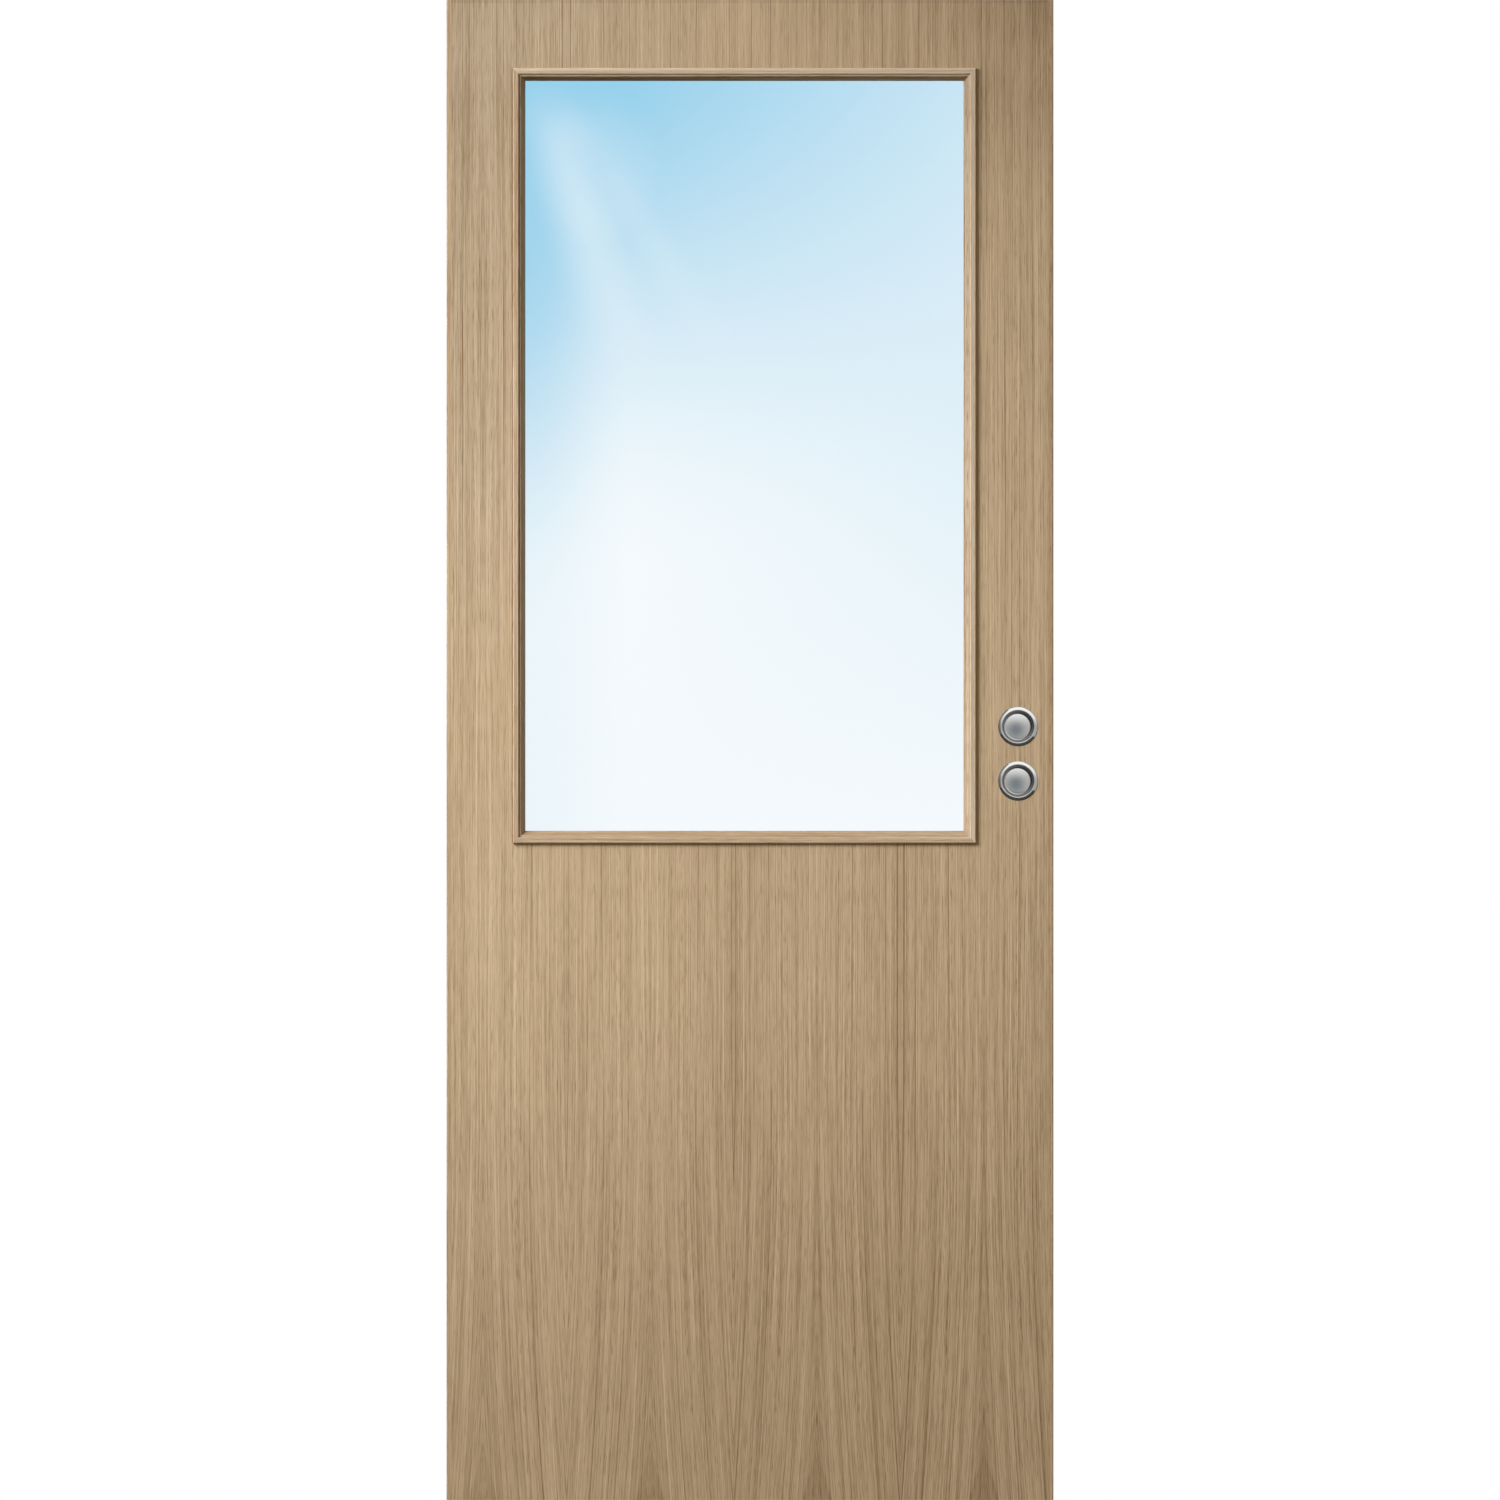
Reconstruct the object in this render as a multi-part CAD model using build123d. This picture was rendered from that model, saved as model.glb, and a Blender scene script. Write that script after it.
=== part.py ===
"""Glazed sliding door leaf, veneered in oak, with a mitred bead frame and flush pulls on both faces.

Units are millimetres. The origin is the middle of the leaf's top edge, where its hangers are fixed:
+X points to the leading edge, which carries the pulls, +Y to the back face, and +Z up.
"""

import os

from build123d import *

# Leaf
LEAF_WIDTH = 825.0
LEAF_HEIGHT = 2040.0
LEAF_THICKNESS = 40.0
FACE_PANEL_THICKNESS = 3.6
LIPPING_THICKNESS = 7.0
ARRIS_RADIUS = 1.5

# Framing under the face panels: the stiles and the top rail are as wide as the window leaves them
MIDDLE_RAIL_HEIGHT = 70.0
BOTTOM_RAIL_HEIGHT = 90.0

# Groove in the bottom edge that the floor guide runs in
GUIDE_GROOVE_WIDTH = 8.0
GUIDE_GROOVE_DEPTH = 18.0

# Window, by its sight lines: the glass that shows between the beads, as wide as the margins leave it
SIGHT_FROM_TRAILING_EDGE = 107.0
SIGHT_FROM_LEADING_EDGE = 122.0
SIGHT_FROM_TOP = 110.0
SIGHT_HEIGHT = 1020.0
GLASS_THICKNESS = 4.0
GLASS_EDGE_GAP = 4.0
TAPE_THICKNESS = 2.0
TAPE_SETBACK = 0.6

# Glazing bead, measured out from the sight line and up from the leaf's face
BEAD_WIDTH = 17.0
BEAD_LIP = 5.0
BEAD_PROJECTION = 5.0
BEAD_ARRIS_RADIUS = 2.0
BEAD_FOOT_EASE = 1.0
SPLAY_WIDTH = 6.0
SPLAY_ROOT_DEPTH = 9.0
FILLET_WIDTH = 2.8
FILLET_HEIGHT = 1.9
OVOLO_RADIUS = 1.3

# Flush pulls: a sloping cup with a bevelled rim that laps over the leaf's face
PULL_RIM_DIAMETER = 54.0
PULL_RIM_HEIGHT = 2.2
PULL_RIM_OUTER_BEVEL = 1.0
PULL_RIM_INNER_BEVEL = 1.1
PULL_RIM_LAND_FALL = 1.3
PULL_MOUTH_DIAMETER = 42.5
PULL_FLOOR_DIAMETER = 34.5
PULL_DEPTH = 8.0
PULL_WALL = 1.2
PULL_POCKET_CLEARANCE = 0.3
PULL_BACKSET = 48.0
UPPER_PULL_HEIGHT = 1052.0
PULL_SPACING = 74.0

# Places worked out from the driving dimensions
FACE = LEAF_THICKNESS / 2
FRAME_THICKNESS = LEAF_THICKNESS - 2 * FACE_PANEL_THICKNESS
CORE_WIDTH = LEAF_WIDTH - 2 * LIPPING_THICKNESS
BOTTOM = -LEAF_HEIGHT

SIGHT_TRAILING = -LEAF_WIDTH / 2 + SIGHT_FROM_TRAILING_EDGE
SIGHT_LEADING = LEAF_WIDTH / 2 - SIGHT_FROM_LEADING_EDGE
SIGHT_WIDTH = SIGHT_LEADING - SIGHT_TRAILING
SIGHT_TOP = -SIGHT_FROM_TOP
SIGHT_BOTTOM = SIGHT_TOP - SIGHT_HEIGHT
SIGHT_CENTRE = ((SIGHT_TRAILING + SIGHT_LEADING) / 2, (SIGHT_TOP + SIGHT_BOTTOM) / 2)

BEAD_LEG = BEAD_WIDTH - BEAD_LIP
BEAD_LEG_DEPTH = FACE - GLASS_THICKNESS / 2 - TAPE_THICKNESS
APERTURE_TRAILING = SIGHT_TRAILING - BEAD_LEG
APERTURE_LEADING = SIGHT_LEADING + BEAD_LEG
APERTURE_TOP = SIGHT_TOP + BEAD_LEG
APERTURE_BOTTOM = SIGHT_BOTTOM - BEAD_LEG

MIDDLE_RAIL_BOTTOM = APERTURE_BOTTOM - MIDDLE_RAIL_HEIGHT
BOTTOM_RAIL_TOP = BOTTOM + BOTTOM_RAIL_HEIGHT

PULL_X = LEAF_WIDTH / 2 - PULL_BACKSET
PULL_HEIGHTS = {"upper": UPPER_PULL_HEIGHT, "lower": UPPER_PULL_HEIGHT - PULL_SPACING}
PULL_SHELL_RADIUS = PULL_MOUTH_DIAMETER / 2 + PULL_WALL
PULL_SHELL_DEPTH = PULL_DEPTH + PULL_WALL


def block(x_low, x_high, y_low, y_high, z_low, z_high):
    """A plain slab between the given limits."""
    centre = ((x_low + x_high) / 2, (y_low + y_high) / 2, (z_low + z_high) / 2)
    return Pos(*centre) * Box(x_high - x_low, y_high - y_low, z_high - z_low)


def to_back(front_piece):
    """The same piece on the leaf's back face."""
    return mirror(front_piece, about=Plane.XZ)


def guide_groove():
    """The cutter for the groove that runs the whole width of the bottom edge."""
    half = GUIDE_GROOVE_WIDTH / 2
    return block(-LEAF_WIDTH, LEAF_WIDTH, -half, half, BOTTOM - GUIDE_GROOVE_DEPTH, BOTTOM + GUIDE_GROOVE_DEPTH)


def pull_pockets():
    """The cutters for the round pockets that the flush pulls drop into, on both faces."""
    radius = PULL_SHELL_RADIUS + PULL_POCKET_CLEARANCE
    depth = PULL_SHELL_DEPTH + PULL_POCKET_CLEARANCE
    cutters = []
    for height in PULL_HEIGHTS.values():
        pocket = Plane((PULL_X, -FACE, BOTTOM + height), z_dir=(0, 1, 0)) * Cylinder(radius, 2 * depth)
        cutters += [pocket, to_back(pocket)]
    return cutters


def framing_member(x_low, x_high, z_low, z_high):
    """A stile, rail or core board that fills the space between the two face panels."""
    return block(x_low, x_high, -FRAME_THICKNESS / 2, FRAME_THICKNESS / 2, z_low, z_high)


def face_panel():
    """The front veneered panel, with the window and the pulls cut out of it."""
    half = CORE_WIDTH / 2
    panel = block(-half, half, -FACE, -FRAME_THICKNESS / 2, BOTTOM, 0)
    window = block(APERTURE_TRAILING, APERTURE_LEADING, -LEAF_THICKNESS, 0, APERTURE_BOTTOM, APERTURE_TOP)
    return panel - window - pull_pockets()


def edge_lipping(side):
    """The solid strip on a long edge, with its outer arrises rounded; side is 1 for the leading edge."""
    outer = side * LEAF_WIDTH / 2
    inner = side * CORE_WIDTH / 2
    strip = block(min(inner, outer), max(inner, outer), -FACE, FACE, BOTTOM, 0)
    by_side = strip.edges().filter_by(Axis.Z).group_by(Axis.X)
    arrises = by_side[-1] if side > 0 else by_side[0]
    return fillet(arrises, ARRIS_RADIUS) - guide_groove()


def bead_section():
    """The bead's moulded section: x runs out from the sight line, y out from the leaf's face."""
    fillet_end = SPLAY_WIDTH + FILLET_WIDTH
    ovolo_end = fillet_end + OVOLO_RADIUS
    with BuildSketch() as section:
        with BuildLine():
            Polyline(
                (fillet_end, BEAD_PROJECTION - OVOLO_RADIUS),
                (fillet_end, FILLET_HEIGHT),
                (SPLAY_WIDTH, FILLET_HEIGHT),
                (0, -SPLAY_ROOT_DEPTH),
                (0, -BEAD_LEG_DEPTH),
                (BEAD_LEG, -BEAD_LEG_DEPTH),
                (BEAD_LEG, 0),
                (BEAD_WIDTH - BEAD_FOOT_EASE, 0),
                (BEAD_WIDTH, BEAD_FOOT_EASE),
                (BEAD_WIDTH, BEAD_PROJECTION - BEAD_ARRIS_RADIUS),
            )
            RadiusArc(
                (BEAD_WIDTH, BEAD_PROJECTION - BEAD_ARRIS_RADIUS),
                (BEAD_WIDTH - BEAD_ARRIS_RADIUS, BEAD_PROJECTION),
                -BEAD_ARRIS_RADIUS,
            )
            Line((BEAD_WIDTH - BEAD_ARRIS_RADIUS, BEAD_PROJECTION), (ovolo_end, BEAD_PROJECTION))
            RadiusArc(
                (ovolo_end, BEAD_PROJECTION),
                (fillet_end, BEAD_PROJECTION - OVOLO_RADIUS),
                -OVOLO_RADIUS,
            )
        make_face()
    return section.sketch


def mitred_bead(sight_length):
    """One front bead along X with its sight line at z = 0, mitred at both ends."""
    half = sight_length / 2
    across = Plane((0, -FACE, 0), x_dir=(0, 0, 1), z_dir=(1, 0, 0))
    bead = extrude(across * bead_section(), half + BEAD_WIDTH, both=True)
    for end in (1, -1):
        mitre = Plane((end * half, 0, 0), z_dir=(-end, 0, 1))
        bead = split(bead, bisect_by=mitre, keep=Keep.TOP)
    return bead


def front_beads():
    """The four front beads by the side of the window that each one lies on."""
    middle_x, middle_z = SIGHT_CENTRE
    sides = {
        "top": (SIGHT_WIDTH, (middle_x, SIGHT_TOP), 0),
        "leading": (SIGHT_HEIGHT, (SIGHT_LEADING, middle_z), 90),
        "bottom": (SIGHT_WIDTH, (middle_x, SIGHT_BOTTOM), 180),
        "trailing": (SIGHT_HEIGHT, (SIGHT_TRAILING, middle_z), 270),
    }
    return {
        side: Pos(x, 0, z) * Rot(0, turn, 0) * mitred_bead(length)
        for side, (length, (x, z), turn) in sides.items()
    }


def glass_pane():
    """The pane, held back from the aperture by the gap at its edges."""
    return block(
        APERTURE_TRAILING + GLASS_EDGE_GAP,
        APERTURE_LEADING - GLASS_EDGE_GAP,
        -GLASS_THICKNESS / 2,
        GLASS_THICKNESS / 2,
        APERTURE_BOTTOM + GLASS_EDGE_GAP,
        APERTURE_TOP - GLASS_EDGE_GAP,
    )


def front_glazing_tape():
    """The soft tape between the pane and the front beads, set back a little from the sight line."""
    near = -GLASS_THICKNESS / 2 - TAPE_THICKNESS
    far = -GLASS_THICKNESS / 2
    outer_edge = BEAD_LEG - GLASS_EDGE_GAP
    outer = block(
        SIGHT_TRAILING - outer_edge, SIGHT_LEADING + outer_edge, near, far,
        SIGHT_BOTTOM - outer_edge, SIGHT_TOP + outer_edge,
    )
    inner = block(
        SIGHT_TRAILING - TAPE_SETBACK, SIGHT_LEADING + TAPE_SETBACK, 2 * near, 0,
        SIGHT_BOTTOM - TAPE_SETBACK, SIGHT_TOP + TAPE_SETBACK,
    )
    return outer - inner


def pull_section():
    """Half of a pull's section: x is the radius and y the height over the leaf's face."""
    mouth = PULL_MOUTH_DIAMETER / 2
    floor = PULL_FLOOR_DIAMETER / 2
    rim = PULL_RIM_DIAMETER / 2
    with BuildSketch() as section:
        with BuildLine():
            Polyline(
                (0, -PULL_DEPTH),
                (floor, -PULL_DEPTH),
                (mouth, 0),
                (mouth + PULL_RIM_INNER_BEVEL, PULL_RIM_HEIGHT),
                (rim - PULL_RIM_OUTER_BEVEL, PULL_RIM_HEIGHT - PULL_RIM_LAND_FALL),
                (rim, 0),
                (PULL_SHELL_RADIUS, 0),
                (PULL_SHELL_RADIUS, -PULL_SHELL_DEPTH),
                (0, -PULL_SHELL_DEPTH),
                close=True,
            )
        make_face()
    return section.sketch


def front_pull(height):
    """A flush pull in the front face at a height above the leaf's bottom edge."""
    seat = Plane((PULL_X, -FACE, BOTTOM + height), x_dir=(1, 0, 0), z_dir=(0, -1, 0))
    return seat * revolve(Plane.XZ * pull_section(), Axis.Z)


def leaf_pieces():
    """The leaf's own timber: face panels, framing, core and edge strips."""
    half = CORE_WIDTH / 2
    groove = guide_groove()
    panel = face_panel()
    leading_stile = framing_member(APERTURE_LEADING, half, BOTTOM, 0) - groove - pull_pockets()
    bottom_rail = framing_member(APERTURE_TRAILING, APERTURE_LEADING, BOTTOM, BOTTOM_RAIL_TOP) - groove
    return {
        "front_face_panel": panel,
        "back_face_panel": to_back(panel),
        "leading_stile": leading_stile,
        "trailing_stile": framing_member(-half, APERTURE_TRAILING, BOTTOM, 0) - groove,
        "top_rail": framing_member(APERTURE_TRAILING, APERTURE_LEADING, APERTURE_TOP, 0),
        "middle_rail": framing_member(APERTURE_TRAILING, APERTURE_LEADING, MIDDLE_RAIL_BOTTOM, APERTURE_BOTTOM),
        "bottom_rail": bottom_rail,
        "core_board": framing_member(APERTURE_TRAILING, APERTURE_LEADING, BOTTOM_RAIL_TOP, MIDDLE_RAIL_BOTTOM),
        "leading_edge_lipping": edge_lipping(1),
        "trailing_edge_lipping": edge_lipping(-1),
    }


def window_pieces():
    """The pane, its tapes and the beads on both faces."""
    tape = front_glazing_tape()
    pieces = {
        "glass_pane": glass_pane(),
        "front_glazing_tape": tape,
        "back_glazing_tape": to_back(tape),
    }
    for side, bead in front_beads().items():
        pieces[f"front_bead_{side}"] = bead
        pieces[f"back_bead_{side}"] = to_back(bead)
    return pieces


def pull_pieces():
    """The flush pulls on both faces."""
    pieces = {}
    for place, height in PULL_HEIGHTS.items():
        pull = front_pull(height)
        pieces[f"front_pull_{place}"] = pull
        pieces[f"back_pull_{place}"] = to_back(pull)
    return pieces


def main():
    """Builds every piece and writes each one to its own STEP file."""
    os.makedirs("parts", exist_ok=True)
    for name, piece in (leaf_pieces() | window_pieces() | pull_pieces()).items():
        export_step(piece, f"parts/{name}.step")


main()
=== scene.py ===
"""Dresses a glazed oak sliding door leaf: veneer, moulded beads, glass, turned steel pulls and a plain studio."""

import logging
import math
from dataclasses import dataclass
from enum import Enum
from typing import Optional, Union

import bpy
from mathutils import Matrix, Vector


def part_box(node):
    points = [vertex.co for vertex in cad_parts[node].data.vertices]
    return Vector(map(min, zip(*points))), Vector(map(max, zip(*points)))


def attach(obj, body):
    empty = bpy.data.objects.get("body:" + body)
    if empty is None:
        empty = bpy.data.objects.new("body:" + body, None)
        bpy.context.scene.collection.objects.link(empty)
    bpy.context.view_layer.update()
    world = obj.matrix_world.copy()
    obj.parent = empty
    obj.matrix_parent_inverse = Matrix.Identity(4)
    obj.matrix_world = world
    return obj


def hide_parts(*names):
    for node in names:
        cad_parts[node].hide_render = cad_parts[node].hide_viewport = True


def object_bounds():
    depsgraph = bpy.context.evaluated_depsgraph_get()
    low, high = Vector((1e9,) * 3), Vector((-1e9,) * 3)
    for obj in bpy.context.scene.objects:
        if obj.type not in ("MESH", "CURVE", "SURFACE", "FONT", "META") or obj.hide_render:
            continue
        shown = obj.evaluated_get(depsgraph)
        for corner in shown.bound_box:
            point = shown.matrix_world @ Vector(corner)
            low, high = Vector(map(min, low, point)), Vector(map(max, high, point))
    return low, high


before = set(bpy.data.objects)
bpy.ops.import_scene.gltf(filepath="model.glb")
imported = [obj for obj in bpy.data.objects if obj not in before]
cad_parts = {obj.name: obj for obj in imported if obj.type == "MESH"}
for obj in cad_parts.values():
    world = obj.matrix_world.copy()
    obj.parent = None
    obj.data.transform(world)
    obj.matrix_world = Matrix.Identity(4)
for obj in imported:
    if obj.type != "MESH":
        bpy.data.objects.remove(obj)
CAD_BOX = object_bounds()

LOG = logging.getLogger("sliding_door")
ROOT = "root"
MM = 0.001

Socket = bpy.types.NodeSocket
Value = Union[float, Socket]
Colour = tuple[float, float, float, float]


def paint(red: int, green: int, blue: int) -> Colour:
    """Turns a colour given 0 to 255 a channel into the shader's linear one.

    Args:
        red: Red channel.
        green: Green channel.
        blue: Blue channel.

    Returns:
        The linear colour with full cover.
    """
    channels = []
    for channel in (red, green, blue):
        share = channel / 255
        channels.append(share / 12.92 if share <= 0.04045 else ((share + 0.055) / 1.055) ** 2.4)
    return (channels[0], channels[1], channels[2], 1.0)


class ShaderBench:
    """Lays out and joins the nodes of one material or one shared effect."""

    def __init__(self, tree: bpy.types.NodeTree) -> None:
        """Takes the node tree that is worked on."""
        self.tree = tree

    def add(self, kind: str, **settings: object) -> bpy.types.Node:
        """Adds a node.

        Args:
            kind: The node's type name.
            settings: Properties to set on it.

        Returns:
            The new node.
        """
        node = self.tree.nodes.new(kind)
        for name, value in settings.items():
            setattr(node, name, value)
        return node

    def feed(self, target: Socket, value: Union[Value, Colour, tuple]) -> None:
        """Joins a socket to another one, or sets it to a plain value."""
        if isinstance(value, bpy.types.NodeSocket):
            self.tree.links.new(value, target)
        else:
            target.default_value = value

    def math(self, operation: str, *values: Value) -> Socket:
        """Works out one sum.

        Args:
            operation: Blender's name of the operation.
            values: Its terms, plain numbers or sockets.

        Returns:
            The socket with the result.
        """
        node = self.add("ShaderNodeMath", operation=operation)
        for target, value in zip(node.inputs, values):
            self.feed(target, value)
        return node.outputs[0]

    def blend_range(self, value: Value, low: float, high: float, start: float, end: float) -> Socket:
        """Eases a value from one range to another.

        Args:
            value: The value to place.
            low: Where the change begins.
            high: Where the change ends.
            start: The result at or before low.
            end: The result at or after high.

        Returns:
            The socket with the result.
        """
        node = self.add("ShaderNodeMapRange", interpolation_type="SMOOTHSTEP")
        for target, given in zip(node.inputs, (value, low, high, start, end)):
            self.feed(target, given)
        return node.outputs[0]

    def noise(self, point: Socket, detail: float = 1.0, roughness: float = 0.5) -> Socket:
        """Reads soft noise about zero.

        Args:
            point: Where it is read, already stretched.
            detail: How many finer layers it has.
            roughness: How strong those are.

        Returns:
            The socket with values from about -0.5 to 0.5.
        """
        node = self.add("ShaderNodeTexNoise", noise_dimensions="3D")
        self.feed(node.inputs["Vector"], point)
        self.feed(node.inputs["Scale"], 1.0)
        self.feed(node.inputs["Detail"], detail)
        self.feed(node.inputs["Roughness"], roughness)
        return self.math("SUBTRACT", node.outputs[0], 0.5)

    def stretched(self, across: Value, along: Value, third: Value) -> Socket:
        """Puts three values together as a point."""
        node = self.add("ShaderNodeCombineXYZ")
        for target, value in zip(node.inputs, (across, along, third)):
            self.feed(target, value)
        return node.outputs[0]

    def place(self) -> tuple[Socket, Socket, Socket]:
        """Gives the x, y and z of a point on the piece, in metres."""
        where = self.add("ShaderNodeTexCoord")
        split = self.add("ShaderNodeSeparateXYZ")
        self.feed(split.inputs[0], where.outputs["Object"])
        return split.outputs[0], split.outputs[1], split.outputs[2]

    def mix(self, share: Value, first: Union[Socket, Colour], second: Union[Socket, Colour]) -> Socket:
        """Mixes two colours.

        Args:
            share: How much of the second one, from 0 to 1.
            first: The colour at 0.
            second: The colour at 1.

        Returns:
            The socket with the mixed colour.
        """
        node = self.add("ShaderNodeMix", data_type="RGBA", clamp_factor=True)
        self.feed(node.inputs["Factor"], share)
        colours = [s for s in node.inputs if s.type == "RGBA"]
        self.feed(colours[0], first)
        self.feed(colours[1], second)
        return next(s for s in node.outputs if s.type == "RGBA")

    def total(self, *values: Value) -> Socket:
        """Adds values up."""
        result = values[0]
        for value in values[1:]:
            result = self.math("ADD", result, value)
        return result

    def scaled(self, value: Value, factor: Value) -> Socket:
        """Multiplies two values."""
        return self.math("MULTIPLY", value, factor)


class SharedEffect:
    """A shader node group that several finishes use, built when it is first asked for."""

    name = ""
    inputs: dict[str, object] = {}
    outputs: dict[str, str] = {}

    def group(self) -> bpy.types.NodeTree:
        """Gives the node group, and builds it the first time."""
        found = bpy.data.node_groups.get(self.name)
        if found is not None:
            return found
        tree = bpy.data.node_groups.new(self.name, "ShaderNodeTree")
        for label, default in self.inputs.items():
            kind = "NodeSocketColor" if isinstance(default, tuple) else "NodeSocketFloat"
            socket = tree.interface.new_socket(label, in_out="INPUT", socket_type=kind)
            socket.default_value = default
        for label, kind in self.outputs.items():
            tree.interface.new_socket(label, in_out="OUTPUT", socket_type=kind)
        bench = ShaderBench(tree)
        given = bench.add("NodeGroupInput")
        result = bench.add("NodeGroupOutput")
        made = self.lay_out(bench, {s.name: s for s in given.outputs})
        for label, socket in made.items():
            bench.feed(result.inputs[label], socket)
        return tree

    def lay_out(self, bench: ShaderBench, given: dict[str, Socket]) -> dict[str, Socket]:
        """Lays out the group's nodes.

        Args:
            bench: The bench of the group's tree.
            given: The group's inputs by name.

        Returns:
            The sockets for the group's outputs by name.
        """
        raise NotImplementedError

    def put(self, bench: ShaderBench, **values: object) -> dict[str, Socket]:
        """Places the effect in a material.

        Args:
            bench: The bench of the material.
            values: Its inputs, with _ for a space in a name.

        Returns:
            Its outputs by name.
        """
        node = bench.add("ShaderNodeGroup", node_tree=self.group())
        for label, value in values.items():
            bench.feed(node.inputs[label.replace("_", " ")], value)
        return {s.name: s for s in node.outputs}


class BookMatch(SharedEffect):
    """Sheets of veneer laid side by side, every other one turned over, with a figure that leans near the foot."""

    name = "BookMatchedSheets"
    inputs = {
        "X": 0.0,
        "Z": 0.0,
        "Sheet": 0.1135,
        "Joint": 0.0,
        "Lean": 0.058,
        "Lean Start": 1.43,
        "Crown Start": 0.52,
    }
    outputs = {"Across": "NodeSocketFloat", "Heart": "NodeSocketFloat", "Drift": "NodeSocketFloat"}

    def lay_out(self, bench: ShaderBench, given: dict[str, Socket]) -> dict[str, Socket]:
        """Folds the width into sheets and bends the grain.

        Args:
            bench: The bench of the group's tree.
            given: The group's inputs by name.

        Returns:
            Across is the bent place across a sheet, Heart the dark spear at each joint, Drift the slow change of
            the figure from sheet to sheet.
        """
        from_joint = bench.math("SUBTRACT", given["X"], given["Joint"])
        folded = bench.math("PINGPONG", from_joint, given["Sheet"])
        below = bench.math("SUBTRACT", bench.scaled(given["Z"], -1.0), given["Lean Start"])
        depth = bench.math("MAXIMUM", below, 0.0)
        shift = bench.scaled(bench.math("POWER", depth, 2.0), given["Lean"])
        drift = bench.noise(bench.stretched(bench.scaled(folded, 9.0), bench.scaled(given["Z"], 1.6), 2.7), 0.0)
        waver = bench.noise(bench.stretched(bench.scaled(folded, 30.0), bench.scaled(given["Z"], 5.0), 6.1), 0.0)
        across = bench.total(folded, bench.scaled(shift, -1.0), bench.scaled(drift, 0.006), bench.scaled(waver, 0.0014))
        foot = bench.math("MAXIMUM", bench.math("SUBTRACT", below, given["Crown Start"]), 0.0)
        crown = bench.blend_range(bench.total(folded, bench.scaled(foot, -0.26)), -0.006, -0.001, 0.9, 0.0)
        spear = bench.scaled(bench.blend_range(across, -0.008, 0.002, 0.4, 0.0), bench.blend_range(below, -0.2, 0.2, 0.0, 1.0))
        heart = bench.math("MAXIMUM", crown, spear)
        sheet = bench.math("FLOOR", bench.math("DIVIDE", from_joint, given["Sheet"]))
        return {"Across": across, "Heart": heart, "Drift": bench.scaled(sheet, 0.11)}


class OakGrain(SharedEffect):
    """Oak cut along the grain: ring lines, streaks, pores and slow changes of tone."""

    name = "OakGrain"
    inputs = {
        "Across": 0.0,
        "Along": 0.0,
        "Seed": 0.0,
        "Drift": 0.0,
        "Ring Width": 0.009,
        "Tone": 0.0,
        "Lines": 0.7,
        "Pores": 0.36,
        "Pale": (1.0, 1.0, 1.0, 1.0),
        "Dark": (0.0, 0.0, 0.0, 1.0),
    }
    outputs = {"Colour": "NodeSocketColor", "Roughness": "NodeSocketFloat", "Height": "NodeSocketFloat"}

    def lay_out(self, bench: ShaderBench, given: dict[str, Socket]) -> dict[str, Socket]:
        """Builds the grain from noise drawn out along the fibres.

        Args:
            bench: The bench of the group's tree.
            given: The group's inputs by name.

        Returns:
            Colour, Roughness and Height of the wood.
        """

        depth = bench.total(given["Seed"], given["Drift"])
        sway = bench.noise(bench.stretched(bench.scaled(given["Across"], 55.0), given["Along"], depth), 0.0)
        jitter = bench.noise(bench.stretched(bench.scaled(given["Across"], 650.0), given["Seed"], 0.5), 0.0)

        def drawn(
            across: float, along: float, shift: float, detail: float = 0.0, roughness: float = 0.5, loose: float = 0.0
        ) -> Socket:
            """Noise with so many waves a metre across and along the fibres, each loose by so many waves."""
            place = bench.total(bench.scaled(given["Along"], along), bench.scaled(sway, 2.0), bench.scaled(jitter, loose))
            point = bench.stretched(bench.scaled(given["Across"], across), place, bench.math("ADD", depth, shift))
            return bench.noise(point, detail, roughness)

        wander = drawn(14.0, 0.8, 1.0, detail=1.0)
        ring = bench.total(bench.math("DIVIDE", given["Across"], given["Ring Width"]), bench.scaled(wander, 2.0))
        part = bench.math("FRACT", ring)
        chance = bench.add("ShaderNodeTexWhiteNoise", noise_dimensions="1D")
        bench.feed(chance.inputs["W"], bench.math("ADD", bench.math("FLOOR", ring), given["Seed"]))
        weight = bench.blend_range(chance.outputs["Value"], 0.3, 1.0, 0.0, 1.0)
        fade = bench.blend_range(drawn(45.0, 1.6, 5.0), -0.14, 0.14, 0.2, 1.0)
        weight = bench.scaled(weight, fade)
        dark_line = bench.scaled(bench.math("POWER", bench.math("SUBTRACT", 1.0, part), 10.0), weight)
        pale_line = bench.scaled(bench.math("POWER", part, 11.0), weight)
        lines = bench.scaled(bench.total(bench.scaled(pale_line, 0.6), bench.scaled(dark_line, -1.0)), given["Lines"])
        broad = bench.scaled(drawn(15.0, 0.5, 9.0), 0.16)
        streaks = bench.scaled(drawn(110.0, 0.9, 13.0, detail=1.0, roughness=0.8), 0.12)
        fine = bench.scaled(drawn(700.0, 2.6, 17.0, detail=1.0, roughness=0.9), 1.1)
        pore = bench.blend_range(drawn(1100.0, 50.0, 21.0, detail=1.0, loose=14.0), -0.02, 0.2, 0.0, 1.0)
        pores = bench.scaled(bench.scaled(pore, -1.0), given["Pores"])
        tone = bench.total(0.62, given["Tone"], broad, streaks, fine, lines, pores)
        colour = bench.mix(tone, given["Dark"], given["Pale"])
        roughness = bench.total(0.5, bench.scaled(pore, 0.2), bench.scaled(fine, 0.15))
        height = bench.total(bench.scaled(fine, 0.4), bench.scaled(pore, -0.8))
        return {"Colour": colour, "Roughness": roughness, "Height": height}


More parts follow.
